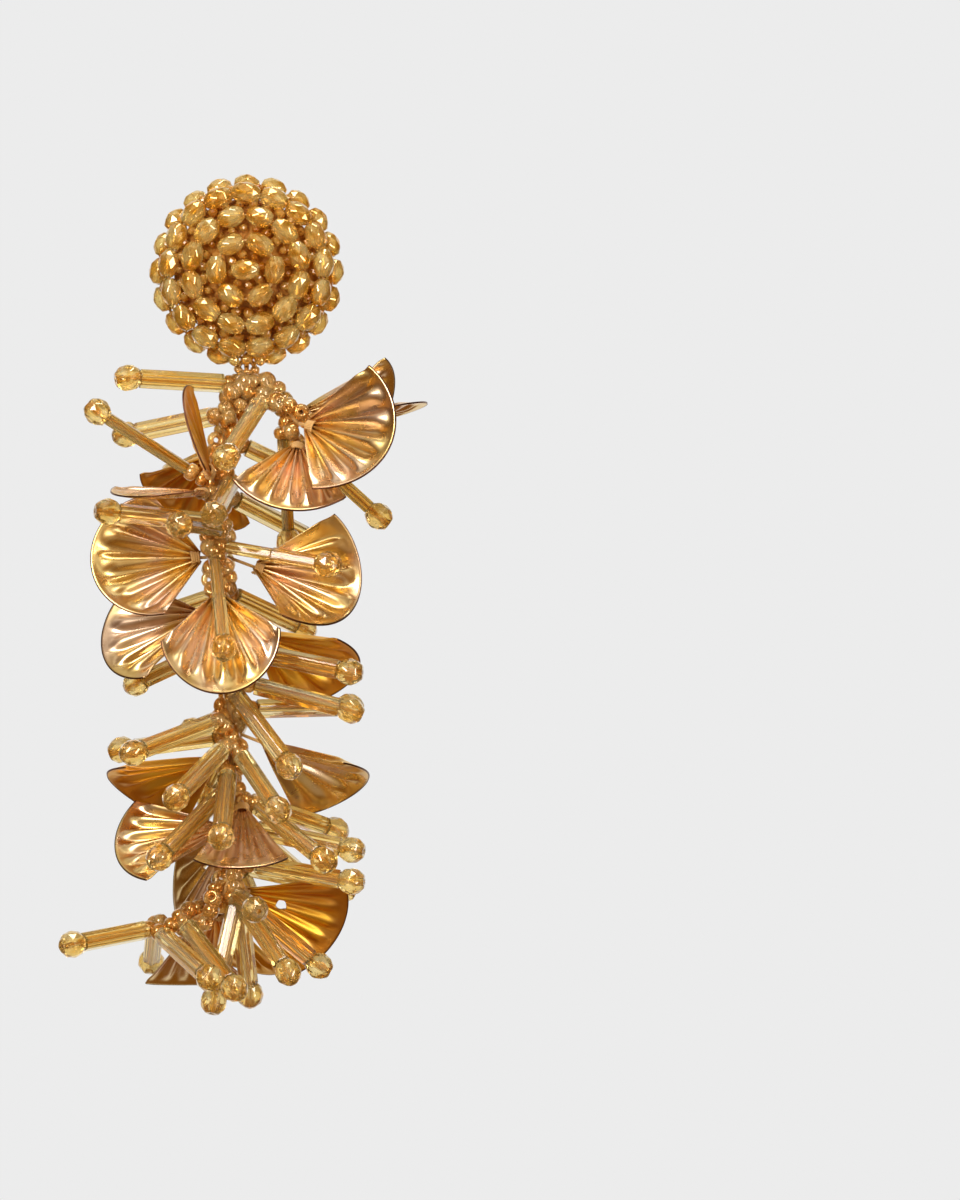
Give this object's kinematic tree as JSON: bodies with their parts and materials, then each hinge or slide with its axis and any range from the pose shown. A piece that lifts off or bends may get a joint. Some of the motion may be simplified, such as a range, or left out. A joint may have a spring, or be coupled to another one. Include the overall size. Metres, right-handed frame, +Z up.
{
  "type": "tassel drop earring",
  "caption": "Long statement drop earring for a pierced ear: a domed beaded button with a swinging tassel of glass bugle sprigs and pleated gold metal fans.",
  "frame": {"origin": "middle of the pad that lies on the ear lobe, where the post leaves it", "axes": "+Z up, +Y along the post into the ear, the beaded front faces -Y"},
  "size_m": [0.0439, 0.0321, 0.1008],
  "materials": {
    "bead_glass": "facetted honey glass with a lustre coat",
    "bugle_glass": "pale champagne glass bugles with facetted end beads",
    "gold_foil": "thin pleated sheet, bright rose and champagne gold",
    "thread": "beading thread with seed beads",
    "backing": "amber brown felt, stitched",
    "post_metal": "polished, gold plated"
  },
  "bodies": {
    "button": {"ear_post": "post_metal", "button_backing": "backing", "bead_rosette": "bead_glass", "bead_ring_2": "bead_glass", "bead_ring_3": "bead_glass", "bead_ring_4": "bead_glass"},
    "drop": {"drop_string": "thread", "fan_01": "gold_foil", "fan_02": "gold_foil", "fan_03": "gold_foil", "fan_04": "gold_foil", "fan_05": "gold_foil", "fan_06": "gold_foil", "fan_07": "gold_foil", "fan_08": "gold_foil", "fan_09": "gold_foil", "fan_10": "gold_foil", "fan_11": "gold_foil", "fan_12": "gold_foil", "fan_13": "gold_foil", "fan_14": "gold_foil", "fan_15": "gold_foil", "fan_16": "gold_foil", "fan_17": "gold_foil", "fan_18": "gold_foil", "fan_19": "gold_foil", "fan_20": "gold_foil", "sprig_01": "bugle_glass", "sprig_02": "bugle_glass", "sprig_03": "bugle_glass", "sprig_04": "bugle_glass", "sprig_05": "bugle_glass", "sprig_06": "bugle_glass", "sprig_07": "bugle_glass", "sprig_08": "bugle_glass", "sprig_09": "bugle_glass", "sprig_10": "bugle_glass", "sprig_11": "bugle_glass", "sprig_12": "bugle_glass", "sprig_13": "bugle_glass", "sprig_14": "bugle_glass", "sprig_15": "bugle_glass", "sprig_16": "bugle_glass", "sprig_17": "bugle_glass", "sprig_18": "bugle_glass", "sprig_19": "bugle_glass", "sprig_20": "bugle_glass", "right_pair": "bugle_glass", "sprig_21": "bugle_glass", "sprig_22": "bugle_glass", "sprig_24": "bugle_glass", "sprig_25": "bugle_glass", "foot_spray": "bugle_glass", "knot_pair": "bugle_glass", "rear_spray_1": "bugle_glass", "rear_spray_2": "bugle_glass", "rear_spray_3": "bugle_glass", "rear_spray_4": "bugle_glass", "rear_spray_5": "bugle_glass", "sprig_23": "bugle_glass"}
  },
  "joints": [
    {"name": "drop_swing", "type": "hinge", "parent": "button", "child": "drop", "pos_m": [0, -0.0016, -0.0107], "axis": [1, 0, 0], "range_deg": [-30, 30]}
  ]
}
